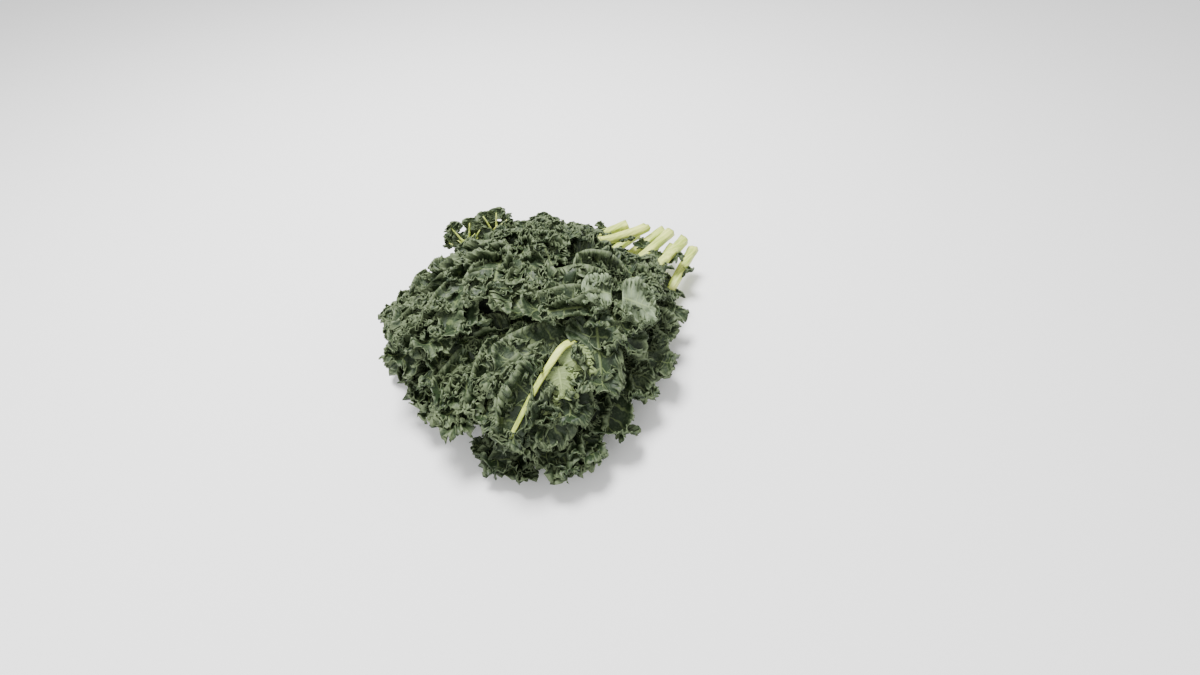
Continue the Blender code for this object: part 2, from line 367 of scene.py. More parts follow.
def axis_way(leaf, place):
    """Way along a leaf's midline beside a place of the plan."""
    return (place[0] - leaf.cut[0]) / (leaf.tip[0] - leaf.cut[0])


def rib_way(along):
    """Way on the midline where the ray of the blade at along starts."""
    return BLADE_START + (RIB_TOP - BLADE_START) * along**RIB_CROWDING


def fullness(turned, base, tip):
    """A rounded outline's width by the way along it, at most 1."""
    widest = base / (base + tip)
    most = widest**base * (1.0 - widest) ** tip
    return turned**base * (1.0 - turned) ** tip / most


def margin(along):
    """Way and share of the half-width where that ray ends, from the base round to the tip."""
    turned = 0.5 - 0.5 * math.cos(math.pi * along)
    body = fullness(turned, BASE_FULLNESS, TIP_FULLNESS)
    return BLADE_START + (1.0 - BLADE_START) * turned, body + TAIL_WIDTH * (1.0 - turned) ** 2


def stalk_radius(way):
    """The stalk tapers from its cut end to a fine rib at the tip."""
    return RIB_TIP_RADIUS + (STALK_RADIUS - RIB_TIP_RADIUS) * (1.0 - way) ** STALK_TAPER


def stalk_path(leaf, ways):
    """Centre and radius of the stalk at each way: gathered at the cut ends, then along under the blade."""
    plan = axis_point(leaf, ways)
    share = mound(plan[:, 0], plan[:, 1]) / LAYERS
    radius = stalk_radius(ways)
    rib = (leaf.layer + RIB_IN_LAYER) * share - radius
    if leaf.turned:
        risen = TURNED_RIB_RISE * smoothstep(TURNED_FROM, TURNED_FROM + TURNED_RISE_WAY, ways)
        rib = (leaf.layer + TURNED_RIB_IN_LAYER + risen) * share + radius
    rib = np.maximum(rib, radius + STALK_CLEARANCE)
    gathered = STALKS_LIFT + STALK_RADIUS + STALK_ROW_HEIGHT * leaf.layer
    start = np.interp(BLADE_START, ways, rib)
    climb = gathered + (start - gathered) * np.clip(ways / BLADE_START, 0.0, 1.0) ** PETIOLE_SWEEP
    z = np.where(ways < BLADE_START, climb, rib)
    return np.column_stack([plan, z]), radius


# A lobe: its foot and direction in the plan, its size, how much of it lies flat, the radii that it cups by,
# how far it stands up, how calm its frills are, and its shade. ground is the height of its foot where that
# isn't on the mound.
Lobe = namedtuple("Lobe", "foot ahead length half_width flat cup tip_curl rise lift calm shade ground seed")


def make_lobe(foot, end, half_width, draw, **given):
    """A lobe from its foot to its end in the plan, with what isn't given drawn at random."""
    reach = end - foot
    length = float(np.linalg.norm(reach))
    drawn = Lobe(
        foot=foot,
        ahead=reach / length,
        length=length * draw.uniform(*LENGTH_SPREAD),
        half_width=half_width * draw.uniform(*WIDTH_SPREAD),
        flat=LOBE_FLAT,
        cup=draw.uniform(*LOBE_CUPS),
        tip_curl=draw.uniform(*LOBE_TIP_CURLS),
        rise=draw.uniform(*LOBE_RISES),
        lift=draw.uniform(*LOBE_LIFTS),
        calm=draw.uniform(*LOBE_CALMS),
        shade=draw.uniform(-1.0, 1.0),
        ground=None,
        seed=draw.uniform(0.0, 100.0),
    )
    return drawn._replace(**given)


def along_lobe(lobe, share):
    """Place of the plan at that share of the way from a lobe's foot to its end."""
    return lobe.foot + lobe.ahead * lobe.length * share


def layers_free(leaf, place):
    """How many layers are empty above a leaf at a place of the plan, and whether a leaf lies over them."""
    over = [LAYERS]
    for other in LEAVES:
        way = axis_way(other, place)
        if other.layer <= leaf.layer or not BLADE_START < way < COVER_END:
            continue
        turned = (way - BLADE_START) / (1.0 - BLADE_START)
        width = other.half_width * fullness(turned, BASE_FULLNESS, TIP_FULLNESS)
        if abs(place[1] - axis_point(other, way)[1]) < COVER_SHARE * width:
            over.append(other.layer)
    return min(over) - leaf.layer - 1, len(over) > 1


def lobes_of(leaf, draw):
    """The lobes of a leaf: one on each side for every lateral vein, and one at the tip."""
    lobes = []
    count = LOBES_A_SIDE[leaf.layer]
    spacing = LOBED_SHARE * np.linalg.norm(np.subtract(leaf.tip, leaf.cut)) / count
    for number in range(count):
        for side in (-1.0, 1.0):
            stray = draw.uniform(-LOBE_STAGGER, LOBE_STAGGER)
            along = (number + FIRST_LOBE + LOBE_STAGGER * side + stray) / count
            foot = axis_point(leaf, rib_way(along))
            end_way, width = margin(along)
            end = axis_point(leaf, end_way) + axis_side(leaf, end_way) * side * width * leaf.half_width
            widest = WIDTH_TO_LENGTH * float(np.linalg.norm(end - foot))
            lobe = make_lobe(foot, end, min(LOBE_WIDTH_SHARE * spacing + LOBE_OVERLAP, widest), draw)
            if draw.uniform() < CALM_SHARE:
                lobe = lobe._replace(calm=CALM)
            if leaf.turned and rib_way(along) > TURNED_FROM - TURNED_LOBES_WAY:
                lobe = lobe._replace(lift=TURNED_LIFT, rise=TURNED_RISE)
            lobes.append(lobe)
    foot = axis_point(leaf, RIB_TOP - TIP_LOBE_WAY)
    half_width = TIP_LOBE_WIDTH_SHARE * spacing + LOBE_OVERLAP
    lobes.append(make_lobe(foot, axis_point(leaf, 1.0), half_width, draw))
    return lobes


def settled(leaf, lobe):
    """A lobe lifted by what lies over it, whether a leaf covers it, and whether it is at the bunch's rim."""
    free, covered = layers_free(leaf, along_lobe(lobe, COVER_LOOK))
    at_rim = math.hypot(*along_lobe(lobe, 1.0)) > INNER_REACH
    lobe = lobe._replace(lift=lobe.lift + OPEN_LIFT * min(free, 1))
    if leaf.layer == 0 and free == 0:
        lobe = lobe._replace(lift=FLOOR_LIFT)
    if leaf.layer == LAYERS - 1 and lobe.lift > TURNED_LIFT:
        lobe = lobe._replace(lift=lobe.lift + TOP_LIFT)
    away_from_rib = leaf.layer == 1 or lobe.ahead[1] > 0.0
    if covered and at_rim and leaf.layer > 0 and free == 0 and away_from_rib:
        lobe = lobe._replace(lift=lobe.lift + RIM_LIFT, rise=RIM_RISE)
    return lobe, covered, at_rim


def on_turned_rib(place):
    """Whether a place of the plan lies on the midrib that shows on the leaf that lies turned over."""
    for leaf in LEAVES:
        way = axis_way(leaf, place)
        if leaf.turned and TURNED_FROM - RIB_CLEAR_WAY < way < 1.0:
            return abs(place[1] - axis_point(leaf, way)[1]) < RIB_CLEAR_WIDTH
    return False


def side_lobes_of(leaf, lobe, count, size, draw):
    """Small lobes that stand on a lobe's sides and fill its cup. A calm or pale lobe's middle is clear."""
    found = []
    clear = lobe.calm > CLEAR_IF_CALMER or lobe.shade > CLEAR_IF_PALER
    for number in range(count):
        side = 1.0 if number % 2 else -1.0
        along = SIDE_START + SIDE_SPAN * (number + draw.uniform(*SIDE_STRAY)) / count
        across = draw.uniform(*(NEAR_MARGIN if clear else IN_CUP))
        spot = lobe_base(leaf, lobe, np.array([along]), np.array([across]), side)[0]
        outward = np.array([-lobe.ahead[1], lobe.ahead[0]]) * side
        lean = draw.uniform(*SIDE_LEANS)
        toward = lobe.ahead * math.cos(lean) + outward * math.sin(lean)
        reach = toward * draw.uniform(*SIDE_LENGTHS) * size
        foot = spot[:2] - SIDE_SUNK * reach
        if on_turned_rib(foot + 2.0 * SIDE_SUNK * reach):
            continue
        found.append(
            make_lobe(
                foot,
                foot + reach,
                draw.uniform(*SIDE_WIDTHS) * size,
                draw,
                flat=0.10,
                cup=draw.uniform(*SIDE_CUPS),
                tip_curl=draw.uniform(*SIDE_TIP_CURLS),
                rise=draw.uniform(*SIDE_RISES),
                calm=0.0,
                shade=lobe.shade,
                ground=spot[2] - SIDE_DEPTH,
            )
        )
    return found


def shown_lobes_of(leaf, draw):
    """The lobes of a leaf that are placed one by one."""
    found = []
    for shown in SHOWN_LOBES:
        if shown.leaf != leaf.name:
            continue
        foot = np.array(shown.foot)
        end = foot + np.array(shown.toward) * shown.length
        look = {name: getattr(shown, name) for name in ("flat", "tip_curl", "lift", "calm", "shade")}
        found.append(make_lobe(foot, end, shown.half_width, draw, cup=SHOWN_CUP, **look))
    return found


def on_fan_vein(fan, lean, length, share):
    """Places along one vein of a fan, which leaves its foot upright and bends outwards."""
    draw = np.random.default_rng(fan.seed + int(10.0 * (lean + 1.0)))
    lean = lean + draw.uniform(-FAN_LEAN_STRAY, FAN_LEAN_STRAY)
    share = np.asarray(share)[..., None]
    reach = FAN_ACROSS * math.sin(lean) * share**FAN_BEND + FAN_BACK * FAN_LEAN_BACK * share
    height = fan.height + math.cos(lean) * length * share
    return np.concatenate([fan.foot + reach * length, height], axis=-1)


def fan_lobes_of(leaf, draw):
    """The small lobes behind the veins of a leaf's fans."""
    found = []
    fans = [fan for fan in SHOWN_FANS if fan.leaf == leaf.name]
    for fan, (lean, length) in product(fans, FAN_VEINS):
        for share in FAN_LOBE_SHARES:
            spot = on_fan_vein(fan, lean, length, share)
            foot = spot[:2] + FAN_BACK * FAN_LOBE_BEHIND
            reach = FAN_ACROSS * math.sin(lean) * FAN_LOBE_ACROSS + FAN_BACK * FAN_LOBE_BACK
            reach = reach + draw.uniform(-FAN_LOBE_STRAY, FAN_LOBE_STRAY, 2)
            reach = reach / np.linalg.norm(reach) * draw.uniform(*FAN_LOBE_LENGTHS)
            found.append(
                make_lobe(
                    foot,
                    foot + reach,
                    draw.uniform(*FAN_LOBE_WIDTHS),
                    draw,
                    flat=0.0,
                    cup=0.012,
                    tip_curl=0.005,
                    rise=1.0,
                    calm=0.0,
                    shade=0.5,
                    ground=spot[2] - FAN_LOBE_DEPTH,
                )
            )
    return found


def leaflets_of(leaf, draw):
    """Small frilled leaflets low on a stalk, below its blade."""
    leaflets = []
    ways = np.linspace(0.0, 1.0, 101)
    centres, radii = stalk_path(leaf, ways)
    for number in range(LEAFLETS):
        way = LEAFLET_START + LEAFLET_SPACING * number + draw.uniform(-LEAFLET_STRAY, LEAFLET_STRAY)
        side = 1.0 if (number + leaf.layer) % 2 else -1.0
        step = int(round(way * 100.0))
        outward = axis_side(leaf, way) * side
        foot = axis_point(leaf, way) + outward * radii[step] * LEAFLET_SUNK
        ahead = axis_point(leaf, way + LEAFLET_AHEAD) - axis_point(leaf, way)
        reach = outward * draw.uniform(*LEAFLET_LENGTHS) + ahead
        leaflets.append(
            make_lobe(
                foot,
                foot + reach,
                draw.uniform(*LEAFLET_WIDTHS),
                draw,
                flat=0.2,
                cup=0.006,
                tip_curl=0.009,
                rise=0.8,
                calm=0.0,
                ground=centres[step, 2],
            )
        )
    return leaflets


def bent(distance, flat, radius):
    """Forward and upward way of a sheet that lies flat for a while and then curls up by that radius."""
    arc = np.maximum(0.0, distance - flat)
    angle = np.minimum(arc / radius, LOBE_TURN_MOST)
    past = arc - angle * radius
    forward = np.minimum(distance, flat) + radius * np.sin(angle) + past * np.cos(angle)
    upward = radius * (1.0 - np.cos(angle)) + past * np.sin(angle)
    return forward, upward


def lobe_base(leaf, lobe, along, across, side):
    """A lobe's sheet before its frills. along runs from the foot round to the tip, across to the margin."""
    turned = 0.5 - 0.5 * np.cos(math.pi * along)
    start = RAY_TOP * along**RAY_CROWDING
    forward = (start + (turned - start) * across) * lobe.length
    width = fullness(turned, LOBE_BASE_FULLNESS, LOBE_TIP_FULLNESS) + LOBE_TAIL * (1.0 - turned) ** 2
    sideways, up_side = bent(lobe.half_width * width * across, LOBE_RIB_WIDTH, lobe.cup)
    onward, up_end = bent(forward, lobe.flat * lobe.length, lobe.tip_curl)
    x = lobe.foot[0] + lobe.ahead[0] * onward - lobe.ahead[1] * sideways * side
    y = lobe.foot[1] + lobe.ahead[1] * onward + lobe.ahead[0] * sideways * side
    ground = lobe.ground
    if ground is None:
        ground = (leaf.layer + lobe.lift) * mound(x, y) / LAYERS
    z = ground + np.hypot(up_side, up_end) * lobe.rise
    return np.stack([x, y, z], axis=-1)


def summed(steps):
    """Running sum of a row of steps along the margin, as a share of its length."""
    return np.concatenate([[0.0], np.cumsum(0.5 * (steps[1:] + steps[:-1]))]) / (MARGIN_STEPS - 1)


def wriggle(lobe, side, across):
    """Shift along the margin and rise off the sheet along a row, as shares of its length, and its painted
    light: highlight on its crests, shade in its troughs.
    """
    t = np.linspace(0.0, 1.0, MARGIN_STEPS)
    turn = np.zeros_like(t)
    crest = np.zeros_like(t)
    frills = SMALL_FRILLS if lobe.half_width < SMALL_LOBE_WIDTH else FRILLS
    for number, frill in enumerate(frills):
        phase = lobe.seed * (number + PHASE_BY_FRILL) + side * PHASE_BY_SIDE * (number + 1)
        slow = SLOW_TURN * np.sin(2.0 * math.pi * SLOW_WAVES * t + phase * SLOW_PHASE)
        begin = frill.begin + CALM_DELAY * lobe.calm * (CALM_BEGIN - frill.begin)
        full = frill.full + lobe.calm * (CALM_FULL - frill.full)
        size = frill.turn * (1.0 - CALM_LOSS * lobe.calm) * smoothstep(begin, full, across)
        waves = (lobe.length + lobe.half_width) / frill.period
        wave = 2.0 * math.pi * waves * t + phase + slow
        turn = turn + size * np.sin(wave)
        crest = crest - frill.crest * size * np.cos(wave)
    on = summed(np.cos(turn))
    up = summed(np.sin(turn))
    whole = max(on[-1], LEAST_GAIN)
    up = (up - t * up[-1]) / whole * smoothstep(1.0, FRILLS_UNTIL, t)
    return t, t + (on - t * on[-1]) / whole, up, crest


def frilled(leaf, lobe, grid):
    """Places of a lobe's vertices, from their places on the flat grid, and each one's painted light, a
    highlight on the frills' crests and shade in their troughs.
    """
    along = (grid[:, 0] + 1.0) / 2.0
    across = np.abs(grid[:, 1])
    side = np.where(grid[:, 1] < 0.0, -1.0, 1.0)
    shifted = along.copy()
    rise = np.zeros_like(along)
    crest = np.zeros_like(along)
    for one_side in (-1.0, 1.0):
        for row in np.unique(np.round(across, 5)):
            here = (np.abs(across - row) < 1e-4) & (side == one_side)
            if row < UNFRILLED_WIDTH or not here.any():
                continue
            t, on, up, height = wriggle(lobe, one_side, row)
            path = lobe_base(leaf, lobe, t, np.full_like(t, row), one_side)
            length = np.linalg.norm(np.diff(path, axis=0), axis=1).sum()
            shifted[here] = np.interp(along[here], t, on)
            rise[here] = np.interp(along[here], t, up) * length
            crest[here] = np.interp(along[here], t, height)
    shifted = np.clip(shifted, 0.0, 1.0)
    point = lobe_base(leaf, lobe, shifted, across, side)
    behind = lobe_base(leaf, lobe, np.clip(shifted - NORMAL_STEP, 0.0, 1.0), across, side)
    ahead = lobe_base(leaf, lobe, np.clip(shifted + NORMAL_STEP, 0.0, 1.0), across, side)
    inner = lobe_base(leaf, lobe, shifted, np.maximum(across - NORMAL_STEP, 0.0), side)
    outer = lobe_base(leaf, lobe, shifted, across + NORMAL_STEP, side)
    normal = np.cross(ahead - behind, outer - inner) * side[:, None]
    normal /= np.maximum(np.linalg.norm(normal, axis=1, keepdims=True), 1e-12)
    return point + normal * rise[:, None], crest


def held_in(places, lowest, highest):
    """Places eased to stay within a little of the solids' box, so no frill reaches far beyond it."""
    for axis, (low, high) in enumerate(zip(lowest, highest)):
        beyond = BEYOND_TOP if axis == 2 else BEYOND_SOLIDS
        high_start = high + beyond - HOLD_EASE
        over = np.maximum(places[:, axis] - high_start, 0.0)
        places[:, axis] += HOLD_EASE * np.tanh(over / HOLD_EASE) - over
        if axis < 2:
            low_start = low - BEYOND_SOLIDS + HOLD_EASE
            under = np.maximum(low_start - places[:, axis], 0.0)
            places[:, axis] -= HOLD_EASE * np.tanh(under / HOLD_EASE) - under
    places[:, 2] = np.maximum(places[:, 2], FLOOR_CLEARANCE)
    return places


def refine(sheet, least_across):
    """Halves the columns' spacing from least_across out to the margin."""
    rows = [
        edge
        for edge in sheet.edges
        if abs(edge.verts[0].co.y - edge.verts[1].co.y) < 1e-5
        and min(abs(vertex.co.y) for vertex in edge.verts) > least_across
    ]
    bmesh.ops.subdivide_edges(sheet, edges=rows, cuts=1)


def lobe_grid(name, columns, rows):
    """The flat grid that every lobe starts from, finer towards the margin, and its vertices' places."""
    sheet = bmesh.new()
    bmesh.ops.create_grid(sheet, x_segments=columns, y_segments=2 * rows, size=1.0)
    for least_across in REFINED_FROM:
        refine(sheet, least_across)
    bmesh.ops.triangulate(sheet, faces=sheet.faces[:])
    texture = sheet.loops.layers.uv.new("lobe")
    sheet.verts.layers.float.new("shade")
    sheet.verts.layers.float.new("crest")
    for face in sheet.faces:
        face.smooth = True
        for loop in face.loops:
            loop[texture].uv = ((loop.vert.co.x + 1.0) / 2.0, loop.vert.co.y)
    places = np.array([vertex.co[:2] for vertex in sheet.verts])
    mesh = bpy.data.meshes.new(name)
    sheet.to_mesh(mesh)
    sheet.free()
    return mesh, places


def finished(sheet, name, *finishes):
    """A finished object from a mesh in the making, with its materials."""
    mesh = bpy.data.meshes.new(name)
    sheet.to_mesh(mesh)
    sheet.free()
    for finish in finishes:
        mesh.materials.append(finish)
    made = bpy.data.objects.new(name, mesh)
    bpy.context.scene.collection.objects.link(made)
    return made


def blade_lobes_of(leaf, grid, small_grid):
    """Every lobe of a leaf, each with the grid that it is made from."""
    draw = np.random.default_rng(leaf.seed)
    lobes = []
    for lobe in lobes_of(leaf, draw):
        lobe, covered, at_rim = settled(leaf, lobe)
        count = SIDE_LOBES[leaf.layer]
        if covered:
            count = RIM_SIDE_LOBES if at_rim else 0
        lobes.append((lobe, small_grid if covered else grid))
        lobes += [(one, small_grid) for one in side_lobes_of(leaf, lobe, count, 1.0, draw)]
    for lobe in shown_lobes_of(leaf, draw):
        lobes.append((lobe, grid))
        lobes += [(one, small_grid) for one in side_lobes_of(leaf, lobe, FRINGE_LOBES, FRINGE_SIZE, draw)]
    return lobes + [(lobe, small_grid) for lobe in fan_lobes_of(leaf, draw) + leaflets_of(leaf, draw)]


def make_blade(leaf, grid, small_grid, finish):
    """A leaf's whole blade: every lobe's grid, moved to its frilled place and given a thickness."""
    sheet = bmesh.new()
    points = []
    shades = []
    crest_lights = []
    for lobe, (mesh, places) in blade_lobes_of(leaf, grid, small_grid):
        sheet.from_mesh(mesh)
        frilled_places, crest = frilled(leaf, lobe, places)
        points.append(frilled_places)
        crest_lights += list(crest)
        shades += [lobe.shade] * len(places)
    points = held_in(np.concatenate(points), *cad_box)
    shade_layer = sheet.verts.layers.float["shade"]
    crest_light_layer = sheet.verts.layers.float["crest"]
    for vertex, place, shade, crest in zip(sheet.verts, points, shades, crest_lights):
        vertex.co = place
        vertex[shade_layer] = shade
        vertex[crest_light_layer] = crest
    bmesh.ops.remove_doubles(sheet, verts=sheet.verts[:], dist=SEAM_WELD)
    blade = finished(sheet, leaf.name + "_curls", finish)
    wall = blade.modifiers.new("thickness", "SOLIDIFY")
    wall.thickness = SHEET_THICKNESS
    wall.offset = 0.0
    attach(blade, "root")
    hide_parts(leaf.name + "_blade")


def upright_edges(edges):
    """Those edges of a cylinder of depth 1 that run along it."""
    return [edge for edge in edges if abs(edge.verts[0].co.z - edge.verts[1].co.z) > 0.5]


def path_frames(path):
    """Unit vectors ahead, sideways and upward at each step of a path that is nowhere upright."""
    aheads = np.gradient(path, axis=0)
    aheads /= np.linalg.norm(aheads, axis=1, keepdims=True)
    sideways = np.cross(aheads, (0.0, 0.0, 1.0))
    sideways /= np.linalg.norm(sideways, axis=1, keepdims=True)
    return aheads, sideways, np.cross(sideways, aheads)


def add_vein(sheet, path, radii):
    """A tapered rib along a path."""
    verts_before, edges_before = len(sheet.verts), len(sheet.edges)
    bmesh.ops.create_cone(sheet, cap_ends=True, segments=VEIN_SIDES, radius1=1.0, radius2=1.0, depth=1.0)
    sheet.edges.ensure_lookup_table()
    bmesh.ops.subdivide_edges(sheet, edges=upright_edges(sheet.edges[edges_before:]), cuts=len(path) - 2)
    sheet.verts.ensure_lookup_table()
    rings = sheet.verts[verts_before:]
    _, sideways, upward = path_frames(path)
    for vertex in rings:
        step = int(round((vertex.co.z + 0.5) * (len(path) - 1)))
        out = sideways[step] * vertex.co.x + upward[step] * vertex.co.y
        vertex.co = path[step] + out * radii[step]
    for face in {face for vertex in rings for face in vertex.link_faces}:
        face.smooth = True


def add_fan_veins(sheet, fan):
    """The veins of a fan, each with a finer vein on both sides."""
    for lean, length in FAN_VEINS:
        path = on_fan_vein(fan, lean, length, np.linspace(0.0, FAN_VEIN_END, FAN_VEIN_STEPS))
        add_vein(sheet, path, np.linspace(*FAN_VEIN_RADII, FAN_VEIN_STEPS))
        for side, share in FAN_SIDE_VEINS:
            start = on_fan_vein(fan, lean, length, share)
            reach = np.array((*(FAN_ACROSS * side * FAN_SIDE_ACROSS), FAN_SIDE_UP)) * length
            path = start + reach * np.linspace(0.0, 1.0, FAN_SIDE_STEPS)[:, None]
            add_vein(sheet, path, np.linspace(*FAN_SIDE_VEIN_RADII, FAN_SIDE_STEPS))


def stalk_blank():
    """A cylinder of radius 1 and depth 1 with a ring of vertices for each step, and its cut face marked."""
    sheet = bmesh.new()
    bmesh.ops.create_cone(sheet, cap_ends=True, segments=STALK_SIDES, radius1=1.0, radius2=1.0, depth=1.0)
    bmesh.ops.subdivide_edges(sheet, edges=upright_edges(sheet.edges), cuts=STALK_STEPS - 1)
    cut_face = min(sheet.faces, key=lambda face: face.calc_center_median().z)
    for thickness in CUT_INSETS:
        bmesh.ops.inset_region(sheet, faces=[cut_face], thickness=thickness)
    for face in sheet.faces:
        at_cut = face.calc_center_median().z < -0.4999
        face.smooth = not at_cut
        face.material_index = 1 if at_cut else 0
    return sheet


def make_stalk(leaf, finish, cut_finish):
    """A ridged stalk, grooved along its top and cut off aslant."""
    draw = np.random.default_rng(leaf.seed + 1)
    sheet = stalk_blank()
    ways = np.linspace(0.0, TURNED_RIB_END if leaf.turned else RIB_END, STALK_STEPS + 1)
    centres, radii = stalk_path(leaf, ways)
    aheads, sideways, upward = path_frames(centres)
    widened = np.ones_like(ways)
    if leaf.turned:
        widened += TURNED_WIDENING * smoothstep(TURNED_FROM, TURNED_FROM + TURNED_WIDEN_WAY, ways)
    slant = draw.uniform(-CUT_SLANT, CUT_SLANT, 2)
    phase = draw.uniform(0.0, 6.0)
    for vertex in sheet.verts:
        step = int(round((vertex.co.z + 0.5) * STALK_STEPS))
        out = math.hypot(vertex.co.x, vertex.co.y)
        turn = math.atan2(vertex.co.y, vertex.co.x)
        groove = GROOVE_DEPTH * math.exp(-(((turn - math.pi / 2.0) / GROOVE_WIDTH) ** 2))
        ridge = RIDGED_RADIUS + RIDGE_HEIGHT * math.cos(RIDGES * turn + phase) - groove
        knobs = 1.0 + sum(size * math.sin(pace * step + lag * phase) for size, pace, lag in KNOBS)
        reach = radii[step] * ridge * knobs * out
        across = math.cos(turn) * reach * widened[step]
        up = math.sin(turn) * reach
        near_cut = max(0.0, 1.0 - step / CUT_STEPS)
        sunk = PITH_DEPTH * (1.0 - out) if step == 0 else 0.0
        shift = (slant[0] * across + slant[1] * up + CUT_OVERHANG) * near_cut + sunk
        vertex.co = centres[step] + sideways[step] * across + upward[step] * up + aheads[step] * shift
    for fan in SHOWN_FANS:
        if fan.leaf == leaf.name:
            add_fan_veins(sheet, fan)
    bmesh.ops.recalc_face_normals(sheet, faces=sheet.faces[:])
    stalk = finished(sheet, leaf.name + "_rib", finish, cut_finish)
    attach(stalk, "root")
    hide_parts(leaf.name + "_stalk")


class Shading:
    """Short calls that add nodes to one node tree."""

    def __init__(self, tree):
        self.nodes, self.links = tree.nodes, tree.links

    def feed(self, socket, value):
        """Links a socket to another, or sets its value."""
        if isinstance(value, bpy.types.NodeSocket):
            self.links.new(value, socket)
        else:
            socket.default_value = value

    def maths(self, operation, *values):
        """The result of one operation on one or two values."""
        made = self.nodes.new("ShaderNodeMath")
        made.operation = operation
        for socket, value in zip(made.inputs, values):
            self.feed(socket, value)
        return made.outputs[0]

    def add(self, first, second):
        """The sum of two values."""
        return self.maths("ADD", first, second)

    def times(self, first, second):
        """The product of two values."""
        return self.maths("MULTIPLY", first, second)

    def ramp(self, value, low, high, to_low=0.0, to_high=1.0):
        """A smooth step from to_low to to_high."""
        made = self.nodes.new("ShaderNodeMapRange")
        made.interpolation_type = "SMOOTHSTEP"
        for name, given in (
            ("Value", value),
            ("From Min", low),
            ("From Max", high),
            ("To Min", to_low),
            ("To Max", to_high),
        ):
            self.feed(made.inputs[name], given)
        return made.outputs["Result"]

    def mix(self, share, first, second):
        """A colour between two."""
        made = self.nodes.new("ShaderNodeMix")
        made.data_type = "RGBA"
        self.feed(made.inputs["Factor"], share)
        for name, colour in (("A", first), ("B", second)):
            self.feed(next(one for one in made.inputs if one.name == name and one.type == "RGBA"), colour)
        return next(one for one in made.outputs if one.type == "RGBA")

    def noise(self, place, scale, detail):
        """Soft noise between 0 and 1."""
        made = self.nodes.new("ShaderNodeTexNoise")
        made.inputs["Scale"].default_value = scale
        made.inputs["Detail"].default_value = detail
        self.links.new(place, made.inputs["Vector"])
        return made.outputs["Fac"]

    def attribute(self, name):
        """A value that the mesh carries at each vertex."""
        made = self.nodes.new("ShaderNodeAttribute")
        made.attribute_name = name
        return made.outputs["Fac"]

    def on_lobe(self):
        """Along and across the lobe, from its own map."""
        made = self.nodes.new("ShaderNodeUVMap")
        made.uv_map = "lobe"
        split = self.nodes.new("ShaderNodeSeparateXYZ")
        self.links.new(made.outputs["UV"], split.inputs[0])
        return split.outputs["X"], self.maths("ABSOLUTE", split.outputs["Y"])

    def place(self):
        """Place in the piece, in metres."""
        return self.nodes.new("ShaderNodeTexCoord").outputs["Object"]

    def bump(self, height, strength, distance, shader):
        """Relief on a shader from a height."""
        made = self.nodes.new("ShaderNodeBump")
        made.inputs["Strength"].default_value = strength
        made.inputs["Distance"].default_value = distance
        self.links.new(height, made.inputs["Height"])
        self.links.new(made.outputs["Normal"], shader.inputs["Normal"])


def new_material(name, values):
    """A material, its shader with the given values, and the calls that add nodes to it."""
    made = bpy.data.materials.new(name)
    made.use_nodes = True
    shader = made.node_tree.nodes["Principled BSDF"]
    for socket, value in values.items():
        shader.inputs[socket].default_value = value
    return made, shader, Shading(made.node_tree)


def vein_mask(made, place, along, across, shown):
    """1 on a lobe's midrib and on the rays that leave it, which are wider on a shown lobe."""
    inward = made.maths("DIVIDE", across, made.add(made.times(shown, 1.2), 1.0))
    strayed = made.add(along, made.times(made.noise(place, RAY_STRAY_SCALE, detail=1.0), RAY_STRAY))
    rayed = made.maths("FRACT", made.times(strayed, LOBE_RAYS))
    off_ray = made.maths("ABSOLUTE", made.maths("SUBTRACT", rayed, 0.5))
    ray = made.ramp(off_ray, 0.02, made.add(made.times(shown, 0.10), 0.11), 0.8, 0.0)
    ray = made.times(ray, made.ramp(across, 0.30, 0.85, 1.0, 0.0))
    return made.maths("MAXIMUM", made.ramp(inward, 0.015, 0.07, 1.0, 0.0), ray)


